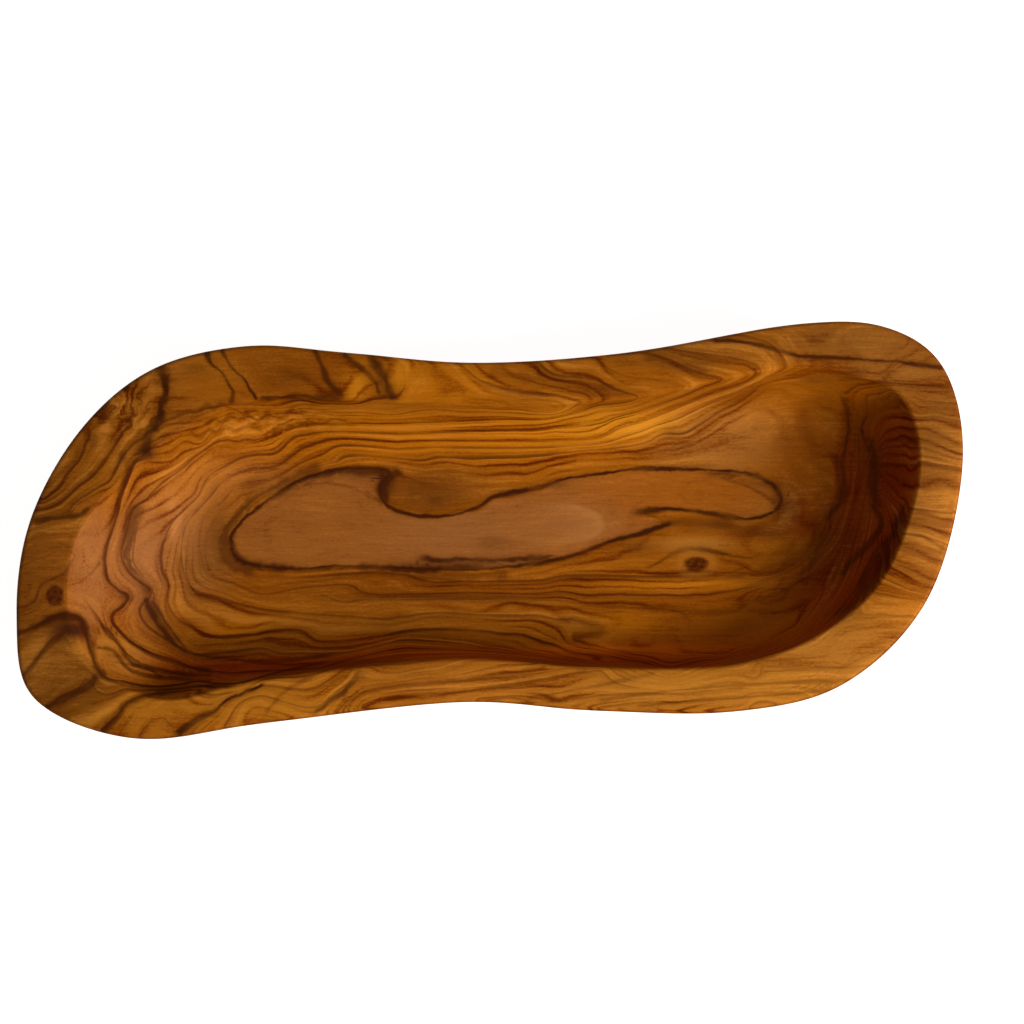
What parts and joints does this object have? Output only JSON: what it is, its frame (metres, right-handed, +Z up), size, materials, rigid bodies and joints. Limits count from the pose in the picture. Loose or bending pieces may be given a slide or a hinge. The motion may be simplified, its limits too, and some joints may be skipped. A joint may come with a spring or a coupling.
{
  "type": "carved serving bowl",
  "caption": "Long S-shaped wooden bowl carved from one block, with a broad flat rim, a deep round-footed hollow and a flat base to stand on.",
  "frame": {"origin": "on the table, under the middle of the bowl's box", "axes": "+X along the length, towards the end with the steep inner wall; +Y across the width; +Z up out of the hollow"},
  "size_m": [0.3, 0.1324, 0.042],
  "materials": {
    "oiled_olive_wood": "satin, oiled"
  },
  "bodies": {
    "root": {"carved_bowl": "oiled_olive_wood"}
  },
  "joints": []
}
